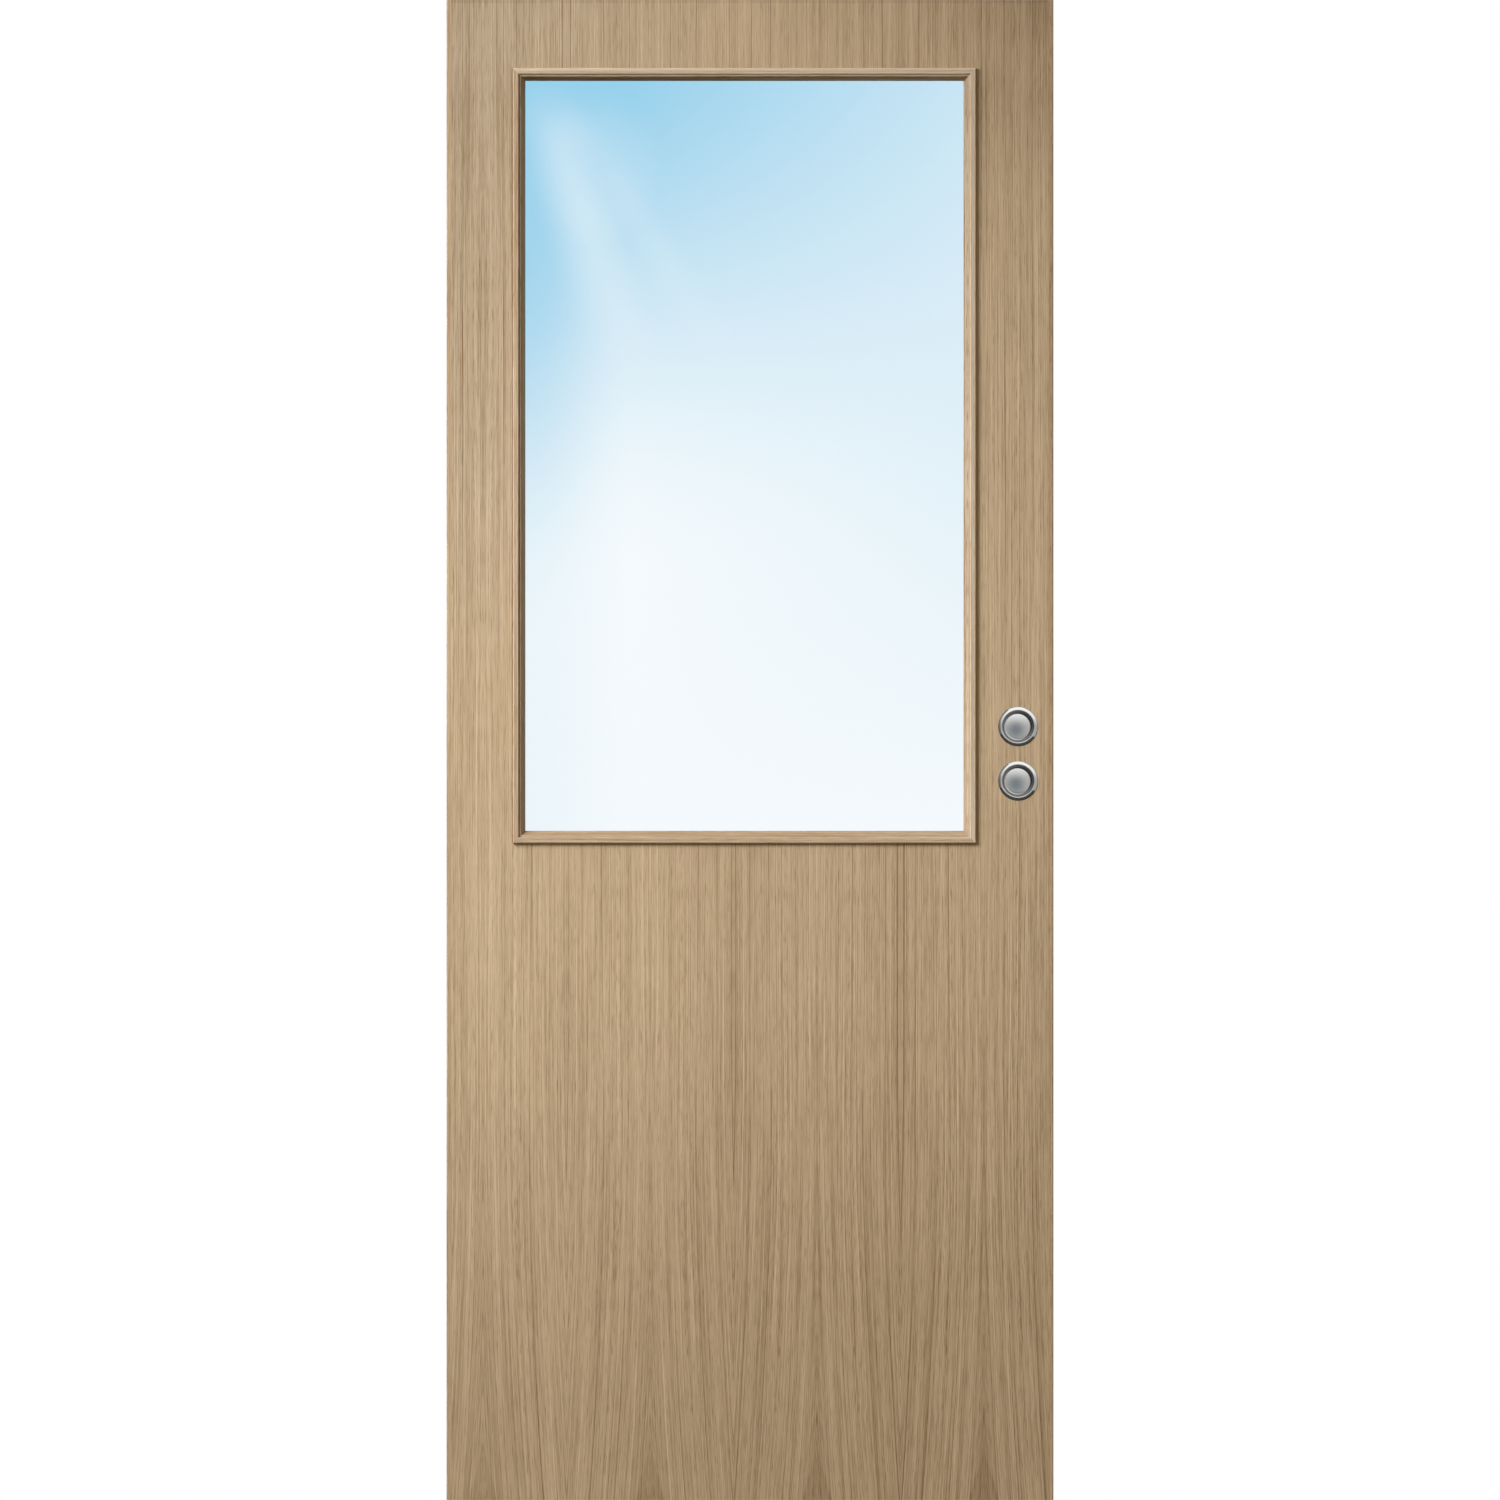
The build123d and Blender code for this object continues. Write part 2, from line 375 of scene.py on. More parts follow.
class TimberRings(SharedEffect):
    """Growth rings about a pith line, for raw softwood seen from any side."""

    name = "TimberRings"
    inputs = {
        "First": 0.0,
        "Second": 0.0,
        "Along": 0.0,
        "Ring Width": 0.0034,
        "Pale": (1.0, 1.0, 1.0, 1.0),
        "Dark": (0.0, 0.0, 0.0, 1.0),
    }
    outputs = {"Colour": "NodeSocketColor", "Roughness": "NodeSocketFloat", "Height": "NodeSocketFloat"}

    def lay_out(self, bench: ShaderBench, given: dict[str, Socket]) -> dict[str, Socket]:
        """Builds the rings from the distance to the pith.

        Args:
            bench: The bench of the group's tree.
            given: The group's inputs by name.

        Returns:
            Colour, Roughness and Height of the timber.
        """
        squares = [bench.math("POWER", given[side], 2.0) for side in ("First", "Second")]
        radius = bench.math("SQRT", bench.total(*squares))
        point = bench.stretched(
            bench.scaled(given["First"], 25.0), bench.scaled(given["Second"], 25.0), bench.scaled(given["Along"], 1.5)
        )
        wobble = bench.scaled(bench.noise(point, 2.0), 0.004)
        part = bench.math("FRACT", bench.math("DIVIDE", bench.total(radius, wobble), given["Ring Width"]))
        late = bench.math("POWER", part, 3.0)
        fibres = bench.stretched(
            bench.scaled(given["First"], 1500.0), bench.scaled(given["Second"], 1500.0), bench.scaled(given["Along"], 20.0)
        )
        grit = bench.noise(fibres, 2.0)
        tone = bench.total(0.12, bench.scaled(late, 0.6), bench.scaled(grit, 0.35))
        colour = bench.mix(tone, given["Pale"], given["Dark"])
        return {
            "Colour": colour,
            "Roughness": bench.total(0.62, bench.scaled(grit, 0.2)),
            "Height": bench.total(bench.scaled(grit, 0.6), bench.scaled(late, 0.3)),
        }


class GrainWay(Enum):
    """The way that the fibres of a piece run."""

    UPRIGHT = "upright"
    LEVEL = "level"


class BeadSide(Enum):
    """The side of the pane that a bead lies on."""

    LEADING = "leading"
    TRAILING = "trailing"
    TOP = "top"
    BOTTOM = "bottom"


def start_finish(name: str) -> tuple[bpy.types.Material, ShaderBench, bpy.types.Node]:
    """Starts a material with one Principled shader.

    Args:
        name: The material's name.

    Returns:
        The material, its bench and the shader.
    """
    material = bpy.data.materials.new(name)
    material.use_nodes = True
    material.node_tree.nodes.clear()
    bench = ShaderBench(material.node_tree)
    shader = bench.add("ShaderNodeBsdfPrincipled")
    output = bench.add("ShaderNodeOutputMaterial")
    bench.feed(output.inputs["Surface"], shader.outputs[0])
    return material, bench, shader


def raise_grain(bench: ShaderBench, shader: bpy.types.Node, height: Socket, depth: float, strength: float) -> None:
    """Gives a shader its relief.

    Args:
        bench: The material's bench.
        shader: The shader that gets the relief.
        height: The relief's height, from about -1 to 1.
        depth: The depth that a height of 1 stands for, in metres.
        strength: The share of the relief that shows.
    """
    bump = bench.add("ShaderNodeBump")
    bench.feed(bump.inputs["Strength"], strength)
    bench.feed(bump.inputs["Distance"], depth)
    bench.feed(bump.inputs["Height"], height)
    bench.feed(shader.inputs["Normal"], bump.outputs[0])


@dataclass(frozen=True)
class OakColours:
    """The pale and the dark wood of one cut of oak."""

    pale: Colour = paint(216, 193, 162)
    dark: Colour = paint(135, 108, 78)


@dataclass(frozen=True)
class PaintedLightFalloff:
    """Painted light and shade over a board's width and height: the key lamp's pool painted in broad lighter and darker
    bands, with darker top corners and side edges and a darker line along the top edge.
    """

    half_width: float
    foot: float = -0.05
    middle: float = 0.03
    trailing_foot: float = 0.12
    trailing_top: float = -0.11
    leading_foot: float = -0.04
    leading_middle: float = 0.07
    leading_top: float = -0.3
    top: float = 0.12
    top_edge: float = -0.13
    edge: float = -0.05
    edge_foot: float = 0.04
    edge_top: float = -0.1

    def lay(self, bench: ShaderBench, x: Socket, z: Socket) -> Socket:
        """Lays the painted light and shade out.

        Args:
            bench: The material's bench.
            x: The place across the board.
            z: The height, from 0 at the top edge downwards.

        Returns:
            The change of tone, painted light and shade.
        """
        sideways = bench.math("DIVIDE", x, self.half_width)
        leading = bench.math("MAXIMUM", sideways, 0.0)
        trailing = bench.math("MAXIMUM", bench.scaled(sideways, -1.0), 0.0)
        whole = bench.total(
            bench.blend_range(z, -1.75, -1.2, self.foot, self.middle),
            bench.blend_range(z, -0.15, -0.05, 0.0, self.top),
            bench.blend_range(z, -0.006, -0.003, 0.0, self.top_edge),
        )
        on_trailing = bench.blend_range(z, -1.5, -0.1, self.trailing_foot, self.trailing_top)
        on_leading = bench.total(
            bench.blend_range(z, -1.7, -0.85, self.leading_foot, self.leading_middle),
            bench.blend_range(z, -0.3, 0.0, 0.0, self.leading_top),
        )
        near_edge = bench.blend_range(bench.math("ABSOLUTE", sideways), 0.85, 1.0, 0.0, 1.0)
        edge = bench.total(
            bench.blend_range(z, -1.95, -1.6, self.edge_foot, self.edge),
            bench.blend_range(z, -0.08, -0.02, 0.0, self.edge_top),
        )
        sides = bench.total(
            bench.scaled(trailing, on_trailing), bench.scaled(leading, on_leading), bench.scaled(near_edge, edge)
        )
        return bench.total(whole, sides)

    def painted_light_share(self, bench: ShaderBench, x: Socket, z: Socket) -> Socket:
        """Gives the share of the painted lit colour, a pool of painted light high on the trailing side."""
        trailing = bench.math("MAXIMUM", bench.math("DIVIDE", x, -self.half_width), 0.0)
        return bench.scaled(trailing, bench.blend_range(z, -0.95, -0.6, 0.0, 1.0))


@dataclass(frozen=True)
class PaintedBeadShadowLine:
    """A thin dark line on a face beside an upright bead, a painted contact shadow at the bead's foot."""

    x: float
    low: float
    high: float
    tone: float = -0.7

    def lay(self, bench: ShaderBench, x: Socket, z: Socket) -> Socket:
        """Lays the painted shadow line out as a change of tone."""
        off = bench.math("ABSOLUTE", bench.math("SUBTRACT", x, self.x))
        beside = bench.math("COMPARE", z, (self.low + self.high) / 2, (self.high - self.low) / 2)
        return bench.scaled(bench.blend_range(off, 0.3 * MM, 1.1 * MM, self.tone, 0.0), beside)


@dataclass(frozen=True)
class BeadPaintedShading:
    """Painted light and shade across a bead from its outer edge to the glass: a painted highlight along the outer
    arris, and painted light and shade on the flat top and on the splay, set for each side of the pane.
    """

    outer: float
    inward: float
    arris: float
    top: float
    splay: float

    def lay(self, bench: ShaderBench, across: Socket) -> Socket:
        """Lays the painted highlight, light and shade out.

        Args:
            bench: The material's bench.
            across: The place across the bead.

        Returns:
            The change of tone.
        """
        inside = bench.scaled(bench.math("SUBTRACT", across, self.outer), self.inward)
        off = bench.math("ABSOLUTE", bench.math("SUBTRACT", inside, 1.4 * MM))
        # Painted highlight along the outer arris.
        painted_arris_highlight = bench.blend_range(off, 0.2 * MM, 1.3 * MM, self.arris, 0.0)
        # Painted light and shade: one tone on the flat top, another on the splay.
        return bench.total(painted_arris_highlight, bench.blend_range(inside, 10.5 * MM, 12.0 * MM, self.top, self.splay))


@dataclass(frozen=True)
class OakVeneer:
    """Book-matched oak veneer under matt lacquer, on fibreboard that shows at the board's ends."""

    name: str
    joint: float
    seed: float
    face: float
    # Painted light and shade over the leaf's face.
    drift: PaintedLightFalloff
    # A painted shadow line beside the trailing bead.
    bead_shadow_line: PaintedBeadShadowLine
    sheet: float = 113.5 * MM
    veneer_thickness: float = 0.6 * MM
    colours: OakColours = OakColours()
    # Painted light: the paler colour of the painted pool of light.
    painted_lit_pale: Colour = paint(217, 199, 173)
    board: Colour = paint(118, 86, 55)

    def make(self) -> bpy.types.Material:
        """Builds the material."""
        material, bench, shader = start_finish(self.name)
        x, y, z = bench.place()
        figure = BookMatch().put(bench, X=x, Z=z, Sheet=self.sheet, Joint=self.joint)
        # The tone takes painted light and shade from the drift and a painted shadow line from the seam.
        tone = bench.total(
            bench.scaled(figure["Heart"], -0.2), self.drift.lay(bench, x, z), self.bead_shadow_line.lay(bench, x, z)
        )
        # The pale wood turns to the painted lit colour where the pool of light is painted.
        oak = OakGrain().put(
            bench, Across=figure["Across"], Along=z, Seed=self.seed, Drift=figure["Drift"],
            Tone=tone, Lines=bench.blend_range(figure["Across"], 0.0, 8.0 * MM, 0.15, 0.95),
            Pale=bench.mix(self.drift.painted_light_share(bench, x, z), self.colours.pale, self.painted_lit_pale), Dark=self.colours.dark,
        )
        fibre_point = bench.stretched(bench.scaled(x, 900.0), bench.scaled(y, 900.0), bench.scaled(z, 900.0))
        fibre = bench.noise(fibre_point, 3.0, 0.7)
        board = bench.mix(bench.total(0.5, fibre), self.board, paint(150, 116, 80))
        within = bench.math("LESS_THAN", bench.math("ABSOLUTE", y), self.face - self.veneer_thickness)
        bench.feed(shader.inputs["Base Color"], bench.mix(within, oak["Colour"], board))
        bench.feed(shader.inputs["Roughness"], oak["Roughness"])
        shader.inputs["Specular IOR Level"].default_value = 0.2
        raise_grain(bench, shader, oak["Height"], 0.25 * MM, 0.5)
        return material


@dataclass(frozen=True)
class SolidOak:
    """Solid oak along one way, under matt lacquer."""

    name: str
    way: GrainWay
    seed: float
    colours: OakColours = OakColours()
    tone: float = 0.0
    # Painted light and shade across a bead, for beads only.
    bead: Optional[BeadPaintedShading] = None
    ring_width: float = 7.0 * MM

    def make(self) -> bpy.types.Material:
        """Builds the material."""
        material, bench, shader = start_finish(self.name)
        x, y, z = bench.place()
        across, along = (x, z) if self.way is GrainWay.UPRIGHT else (z, x)
        slant = bench.total(across, bench.scaled(y, 0.8))
        # A bead's tone carries its painted highlight, light and shade.
        tone = self.bead.lay(bench, across) if self.bead else self.tone
        oak = OakGrain().put(
            bench, Across=slant, Along=along, Seed=self.seed, Tone=tone, Ring_Width=self.ring_width, Lines=0.35,
            Pale=self.colours.pale, Dark=self.colours.dark,
        )
        bench.feed(shader.inputs["Base Color"], oak["Colour"])
        bench.feed(shader.inputs["Roughness"], oak["Roughness"])
        shader.inputs["Specular IOR Level"].default_value = 0.08
        raise_grain(bench, shader, oak["Height"], 0.2 * MM, 0.5)
        return material


@dataclass(frozen=True)
class RawSoftwood:
    """Planed softwood with no finish, for the frame between the face panels."""

    name: str
    way: GrainWay
    pith: tuple[float, float]
    pale: Colour = paint(222, 192, 148)
    dark: Colour = paint(176, 130, 84)

    def make(self) -> bpy.types.Material:
        """Builds the material."""
        material, bench, shader = start_finish(self.name)
        x, y, z = bench.place()
        side, along = (x, z) if self.way is GrainWay.UPRIGHT else (z, x)
        timber = TimberRings().put(
            bench, First=bench.math("SUBTRACT", side, self.pith[0]), Second=bench.math("SUBTRACT", y, self.pith[1]),
            Along=along, Pale=self.pale, Dark=self.dark,
        )
        bench.feed(shader.inputs["Base Color"], timber["Colour"])
        bench.feed(shader.inputs["Roughness"], timber["Roughness"])
        raise_grain(bench, shader, timber["Height"], 0.15 * MM, 0.5)
        return material


@dataclass(frozen=True)
class Chipboard:
    """Raw chipboard of pressed flakes."""

    name: str = "RawChipboard"
    pale: Colour = paint(205, 176, 131)
    dark: Colour = paint(150, 114, 74)

    def make(self) -> bpy.types.Material:
        """Builds the material."""
        material, bench, shader = start_finish(self.name)
        x, y, z = bench.place()
        flakes = bench.add("ShaderNodeTexVoronoi")
        bench.feed(flakes.inputs["Vector"], bench.stretched(x, y, z))
        bench.feed(flakes.inputs["Scale"], 260.0)
        split = bench.add("ShaderNodeSeparateColor")
        bench.feed(split.inputs[0], flakes.outputs["Color"])
        bench.feed(shader.inputs["Base Color"], bench.mix(split.outputs[0], self.dark, self.pale))
        bench.feed(shader.inputs["Roughness"], bench.total(0.7, bench.scaled(split.outputs[1], 0.15)))
        raise_grain(bench, shader, split.outputs[2], 0.2 * MM, 0.4)
        return material


@dataclass(frozen=True)
class PaintedReflectionStreak:
    """A soft pale streak in the painted sky reflection across the pane, with its sizes in pane heights."""

    start: float
    slope: float
    width: float
    spread: float
    depth: float

    def lay(self, bench: ShaderBench, sideways: Socket, down: Socket) -> Socket:
        """Lays the ray out.

        Args:
            bench: The material's bench.
            sideways: The place across the pane, from its trailing edge.
            down: The place below its top edge.

        Returns:
            The share of the painted sky reflection that the streak takes away.
        """
        middle = bench.total(self.start, bench.scaled(down, self.slope))
        reach = bench.total(self.width, bench.scaled(down, self.spread))
        off = bench.math("DIVIDE", bench.math("ABSOLUTE", bench.math("SUBTRACT", sideways, middle)), reach)
        length = bench.scaled(bench.blend_range(down, 0.0, 0.09, 0.0, 1.0), bench.blend_range(down, 0.19, 0.4, 1.0, 0.0))
        return bench.scaled(bench.blend_range(off, 0.0, 1.0, self.depth, 0.0), length)


@dataclass(frozen=True)
class WindowGlass:
    """Clear float glass with a painted reflection of the sky: a blue that is deepest at the top near the trailing edge,
    crossed by paler painted streaks and a pale spot.
    """

    name: str
    left: float
    top: float
    width: float
    height: float
    clear: Colour = paint(246, 252, 255)
    # The blue of the painted sky reflection.
    painted_sky: Colour = paint(137, 204, 234)
    # Paler streaks in the painted sky reflection.
    painted_streaks: tuple[PaintedReflectionStreak, ...] = (PaintedReflectionStreak(0.026, 0.288, 0.052, 0.043, 0.22), PaintedReflectionStreak(0.043, 0.6, 0.034, 0.04, 0.06))

    def make(self) -> bpy.types.Material:
        """Builds the material."""
        material, bench, shader = start_finish(self.name)
        x, _, z = bench.place()
        right = bench.math("DIVIDE", bench.math("SUBTRACT", x, self.left), self.width)
        down = bench.math("DIVIDE", bench.math("SUBTRACT", self.top, z), self.height)
        # Painted reflection of the sky, deepest at the top and near the trailing edge.
        near = bench.blend_range(down, -0.1, 0.66, 1.0, 0.0)
        far = bench.scaled(bench.math("POWER", bench.math("SUBTRACT", 1.0, down), 1.2), 0.53)
        turn = bench.math("MAXIMUM", bench.math("DIVIDE", bench.math("SUBTRACT", right, 0.25), 0.75), 0.0)
        body = bench.total(near, bench.scaled(bench.math("SUBTRACT", far, near), turn))
        rim = bench.scaled(bench.blend_range(down, 0.0, 0.35, 0.0, 0.36), bench.blend_range(down, 0.4, 0.75, 1.0, 0.3))
        rim = bench.scaled(rim, bench.blend_range(right, 0.0, 0.26, 1.0, 0.0))
        sideways = bench.scaled(right, self.width / self.height)
        painted_streaks = bench.total(*(ray.lay(bench, sideways, down) for ray in self.painted_streaks))
        # Painted reflection: a paler spot high on the trailing side.
        beside = bench.math("POWER", bench.math("DIVIDE", bench.math("SUBTRACT", right, 0.17), 0.16), 2.0)
        above = bench.math("POWER", bench.math("DIVIDE", bench.math("SUBTRACT", down, 0.125), 0.11), 2.0)
        glow = bench.blend_range(bench.total(beside, above), 0.0, 1.0, 0.1, 0.0)
        painted_sky = bench.total(body, rim, bench.scaled(bench.total(painted_streaks, glow), -1.0))
        bench.feed(shader.inputs["Base Color"], bench.mix(painted_sky, self.clear, self.painted_sky))
        haze = bench.noise(bench.stretched(bench.scaled(x, 3.0), 0.0, bench.scaled(z, 3.0)), 2.0)
        bench.feed(shader.inputs["Roughness"], bench.math("MAXIMUM", bench.scaled(haze, 0.02), 0.0))
        shader.inputs["IOR"].default_value = 1.5
        shader.inputs["Transmission Weight"].default_value = 1.0
        return material


@dataclass(frozen=True)
class FoamTape:
    """Soft grey-brown foam tape."""

    name: str = "GlazingTape"
    pale: Colour = paint(128, 120, 106)
    dark: Colour = paint(96, 88, 76)

    def make(self) -> bpy.types.Material:
        """Builds the material."""
        material, bench, shader = start_finish(self.name)
        x, y, z = bench.place()
        cells = bench.noise(bench.stretched(*(bench.scaled(v, 1400.0) for v in (x, y, z))), 2.0)
        bench.feed(shader.inputs["Base Color"], bench.mix(bench.total(0.5, cells), self.dark, self.pale))
        bench.feed(shader.inputs["Roughness"], bench.total(0.8, bench.scaled(cells, 0.2)))
        raise_grain(bench, shader, cells, 0.1 * MM, 0.4)
        return material


@dataclass(frozen=True)
class TurnedSteel:
    """Satin stainless steel with the fine rings of the lathe, with painted shade and a painted reflection: a shadow
    crescent on the cup's wall, dark lines at the mouth and at the rim's outer edge, and the metal brighter away from a
    spot low in the floor.
    """

    name: str
    centre_x: float
    centre_z: float
    floor_radius: float
    mouth_radius: float
    rim_radius: float
    # The colour of the painted reflection.
    bright: Colour = paint(252, 249, 245)
    satin: Colour = paint(180, 188, 192)
    # The colour of the painted shade.
    painted_shade_colour: Colour = paint(40, 42, 44)

    def make(self) -> bpy.types.Material:
        """Builds the material."""
        material, bench, shader = start_finish(self.name)
        x, _, z = bench.place()
        right = bench.math("SUBTRACT", x, self.centre_x)
        up = bench.math("SUBTRACT", z, self.centre_z)
        radius = self.reach(bench, right, up)
        rings = bench.noise(bench.stretched(bench.scaled(radius, 2600.0), 0.0, 0.0), 2.0)
        # Painted shadow: a dark crescent on the cup's wall, widest at the upper right.
        shade = self.reach(bench, bench.math("ADD", right, 1.2 * MM), bench.math("ADD", up, 0.6 * MM))
        wall = bench.blend_range(shade, self.floor_radius - 0.2 * MM, self.floor_radius + 1.2 * MM, 0.0, 0.88)
        wall = bench.scaled(wall, bench.blend_range(radius, self.mouth_radius, self.mouth_radius + 0.7 * MM, 1.0, 0.0))
        # Painted shade on the outer edge of the rim.
        painted_rim_shade = bench.blend_range(radius, self.rim_radius - 1.3 * MM, self.rim_radius - 0.2 * MM, 0.0, 0.7)
        # Painted shade: a dark line round the mouth.
        edge = bench.math("ABSOLUTE", bench.math("SUBTRACT", radius, self.mouth_radius - 0.5 * MM))
        painted_shade = bench.math("MAXIMUM", wall, bench.blend_range(edge, 0.3 * MM, 1.0 * MM, 0.8, 0.0))
        painted_shade = bench.math("MAXIMUM", painted_shade, painted_rim_shade)
        # Painted reflection: satin turning bright away from a spot low and left of the middle.
        low = self.reach(bench, bench.math("ADD", right, 3.0 * MM), bench.math("ADD", up, 4.0 * MM))
        painted_reflection = bench.blend_range(low, 0.1 * self.floor_radius, 1.05 * self.floor_radius, 0.0, 1.0)
        metal = bench.mix(bench.total(painted_reflection, bench.scaled(rings, 0.3)), self.satin, self.bright)
        # The painted shade darkens the metal.
        bench.feed(shader.inputs["Base Color"], bench.mix(painted_shade, metal, self.painted_shade_colour))
        polish = bench.blend_range(radius, self.floor_radius, self.mouth_radius + 1.0 * MM, 0.2, 0.09)
        bench.feed(shader.inputs["Roughness"], bench.total(polish, bench.scaled(rings, 0.08)))
        shader.inputs["Metallic"].default_value = 1.0
        raise_grain(bench, shader, rings, 0.05 * MM, 0.25)
        return material

    def reach(self, bench: ShaderBench, right: Socket, up: Socket) -> Socket:
        """Gives the distance from a middle."""
        return bench.math("SQRT", bench.total(bench.math("POWER", right, 2.0), bench.math("POWER", up, 2.0)))


def wear(nodes: list[str], material: bpy.types.Material) -> None:
    """Puts a finish on CAD nodes.

    Args:
        nodes: The nodes' names.
        material: The finish.
    """
    for name in nodes:
        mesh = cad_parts[name].data
        mesh.materials.clear()
        mesh.materials.append(material)
        LOG.info("%s wears %s", name, material.name)


@dataclass
class Leaf:
    """The veneered leaf: its face panels, edge strips, frame and core."""

    joint_front: float = -136.0 * MM
    joint_back: float = 70.0 * MM
    bead_shadow_gap: float = 0.6 * MM

    def dress(self) -> None:
        """Dresses the leaf's nodes."""
        low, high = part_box("front_face_panel")
        face = abs(low.y)
        # Painted light and shade for both faces.
        drift = PaintedLightFalloff(high.x)
        bead_low, bead_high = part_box("front_bead_trailing")
        # A painted shadow line just outside the trailing bead's outer edge.
        bead_shadow_line = PaintedBeadShadowLine(bead_low.x - self.bead_shadow_gap, bead_low.z, bead_high.z)
        front = OakVeneer("OakVeneerFront", self.joint_front, 3.0, face, drift, bead_shadow_line)
        back = OakVeneer("OakVeneerBack", self.joint_back, 11.0, face, drift, bead_shadow_line)
        wear(["front_face_panel"], front.make())
        wear(["back_face_panel"], back.make())
        wear(["leading_edge_lipping"], SolidOak("OakLippingLeading", GrainWay.UPRIGHT, 23.0, tone=-0.1).make())
        wear(["trailing_edge_lipping"], SolidOak("OakLippingTrailing", GrainWay.UPRIGHT, 29.0).make())
        for name in ("leading_stile", "trailing_stile"):
            low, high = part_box(name)
            pith = ((low.x + high.x) / 2, high.y + 30.0 * MM)
            wear([name], RawSoftwood("Softwood_" + name, GrainWay.UPRIGHT, pith).make())
        for name in ("top_rail", "middle_rail", "bottom_rail"):
            low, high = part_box(name)
            pith = ((low.z + high.z) / 2, high.y + 24.0 * MM)
            wear([name], RawSoftwood("Softwood_" + name, GrainWay.LEVEL, pith).make())
        wear(["core_board"], Chipboard().make())


@dataclass
class Window:
    """The pane with its tapes and the moulded bead frame on both faces."""

    bead_oak: OakColours = OakColours(paint(217, 201, 180), paint(144, 106, 60))

    def dress(self) -> None:
        """Dresses the pane, the tapes and the beads."""
        low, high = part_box("glass_pane")
        glass = WindowGlass("WindowGlass", low.x, high.z, high.x - low.x, high.z - low.z)
        wear(["glass_pane"], glass.make())
        wear(["front_glazing_tape", "back_glazing_tape"], FoamTape().make())
        for number, face in enumerate(("front", "back")):
            for place, side in enumerate(BeadSide):
                name = f"{face}_bead_{side.value}"
                low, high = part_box(name)
                # Each side's painted arris highlight and painted light and shade on the flat top and splay.
                bead = {
                    BeadSide.LEADING: BeadPaintedShading(high.x, -1.0, 0.1, 0.28, -0.12),
                    BeadSide.TRAILING: BeadPaintedShading(low.x, 1.0, 0.06, -0.08, 0.06),
                    BeadSide.TOP: BeadPaintedShading(high.z, -1.0, 0.3, 0.3, -0.35),
                    BeadSide.BOTTOM: BeadPaintedShading(low.z, 1.0, 0.0, 0.02, -0.22),
                }[side]
                seed = 41.0 + 3.0 * place + 17.0 * number
                way = GrainWay.UPRIGHT if side in (BeadSide.LEADING, BeadSide.TRAILING) else GrainWay.LEVEL
                wear([name], SolidOak("Oak_" + name, way, seed, self.bead_oak, bead=bead).make())


@dataclass
class FlushPull:
    """A turned flush pull: a rounded rim, a sloping wall, a groove and a gently domed floor."""

    node: str
    turns: int = 96
    rim_height: float = 2.2 * MM
    rim_radius: float = 27.0 * MM
    mouth_radius: float = 21.25 * MM
    crown: float = 1.1 * MM
    floor_radius: float = 17.2 * MM
    depth: float = 8.0 * MM
    groove: float = 0.05 * MM
    dome: float = 1.3 * MM
    shell_radius: float = 22.4 * MM
    shell_depth: float = 9.2 * MM

    def profile(self) -> list[tuple[float, float]]:
        """Gives the section from the middle of the floor round to the middle of the back.

        Returns:
            Points of radius and height over the leaf's face.
        """
        points = []
        rings = 6
        for ring in range(rings + 1):
            share = ring / rings
            points.append((self.floor_radius * share, -self.depth + self.dome * (1 - share**2)))
        points.append((self.floor_radius + 0.2 * MM, -self.depth - self.groove))
        points.append((self.floor_radius + 0.5 * MM, -self.depth))
        steps = 6
        for step in range(steps + 1):
            turn = math.pi / 2 * step / steps
            points.append((self.mouth_radius + self.crown * (1 - math.cos(turn)), self.rim_height * math.sin(turn)))
        inner = self.mouth_radius + self.crown
        for step in range(1, steps + 1):
            share = step / steps
            points.append((inner + (self.rim_radius - inner) * share, self.rim_height * (1 - share**1.5) ** 0.8))
        points.append((self.shell_radius, 0.0))
        points.append((self.shell_radius, -self.shell_depth))
        points.append((0.0, -self.shell_depth))
        return points

    def build(self, finish: bpy.types.Material) -> bpy.types.Object:
        """Turns the pull on its axis and puts it in place of its node.

        Args:
            finish: The steel.

        Returns:
            The finished piece.
        """
        low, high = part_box(self.node)
        front = (low.y + high.y) < 0
        outward = -1.0 if front else 1.0
        seat = (low.y if front else high.y) - outward * self.rim_height
        axis = Vector(((low.x + high.x) / 2, seat, (low.z + high.z) / 2))
        points = [axis + Vector((radius, outward * height, 0.0)) for radius, height in self.profile()]
        bpy.ops.object.select_all(action="DESELECT")
        bpy.ops.mesh.primitive_plane_add(size=1.0 * MM, location=points[0])
        piece = bpy.context.object
        piece.name = self.node + "_turned"
        bpy.ops.object.transform_apply(location=True, rotation=True, scale=True)
        bpy.ops.object.mode_set(mode="EDIT")
        bpy.ops.mesh.select_all(action="SELECT")
        bpy.ops.mesh.merge(type="CENTER")
        for here, there in zip(points, points[1:]):
            bpy.ops.mesh.extrude_region_move(TRANSFORM_OT_translate={"value": there - here})
        bpy.ops.mesh.select_all(action="SELECT")
        bpy.ops.mesh.spin(steps=self.turns, angle=2 * math.pi, center=axis, axis=(0.0, 1.0, 0.0))
        bpy.ops.mesh.select_all(action="SELECT")
        bpy.ops.mesh.remove_doubles(threshold=0.01 * MM)
        bpy.ops.mesh.normals_make_consistent(inside=False)
        bpy.ops.object.mode_set(mode="OBJECT")
        bpy.ops.object.shade_smooth_by_angle(angle=math.radians(40))
        piece.data.materials.append(finish)
        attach(piece, ROOT)
        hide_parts(self.node)
        LOG.info("%s turned with %d faces", piece.name, len(piece.data.polygons))
        return piece


